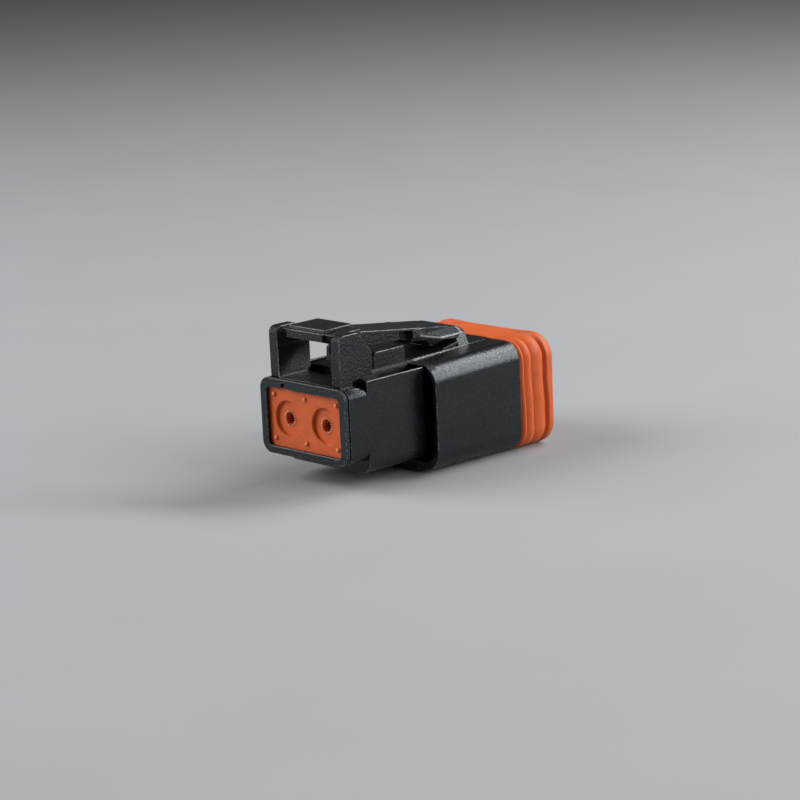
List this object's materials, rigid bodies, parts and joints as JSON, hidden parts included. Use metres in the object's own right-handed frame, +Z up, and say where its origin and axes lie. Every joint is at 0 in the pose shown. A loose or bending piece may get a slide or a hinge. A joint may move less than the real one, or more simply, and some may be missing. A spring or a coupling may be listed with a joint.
{
  "type": "sealed automotive connector plug",
  "caption": "Sealed plug for a vehicle harness: black housing with a thumb latch, orange wire grommet, ribbed seal and wedge lock, and socket contacts inside.",
  "frame": {"origin": "middle of the plug's length and width, on the plane of the keel that it rests on", "axes": "+Y along the plug from the wire entries to the mating end, +Z up through the latch, +X to the right seen from the wire entries"},
  "size_m": [0.0178, 0.0308, 0.0174],
  "materials": {
    "housing_plastic": "black moulded nylon with a fine matt texture",
    "retainer_plastic": "black moulded nylon, slightly rougher",
    "orange_silicone": "orange silicone rubber, satin",
    "orange_plastic": "orange moulded plastic",
    "contact_metal": "nickel-washed turned copper alloy",
    "sleeve_steel": "thin drawn stainless steel"
  },
  "bodies": {
    "plug": {"housing": "housing_plastic", "rear_retainer": "retainer_plastic", "wire_grommet": "orange_silicone", "front_seal": "orange_silicone", "contact_left": "contact_metal", "contact_right": "contact_metal", "sleeve_left": "sleeve_steel", "sleeve_right": "sleeve_steel"},
    "latch": {"latch_lever": "housing_plastic"},
    "wedge": {"wedge_lock": "orange_plastic"}
  },
  "joints": [
    {"name": "latch_press", "type": "hinge", "parent": "plug", "child": "latch", "pos_m": [0, 0.00485, 0.01395], "axis": [1, 0, 0], "range_deg": [0, 6.5], "stiffness_Nm_per_rad": 0.6},
    {"name": "wedge_pull", "type": "slide", "parent": "plug", "child": "wedge", "axis": [0, 1, 0], "range_m": [0, 0.0035]}
  ]
}
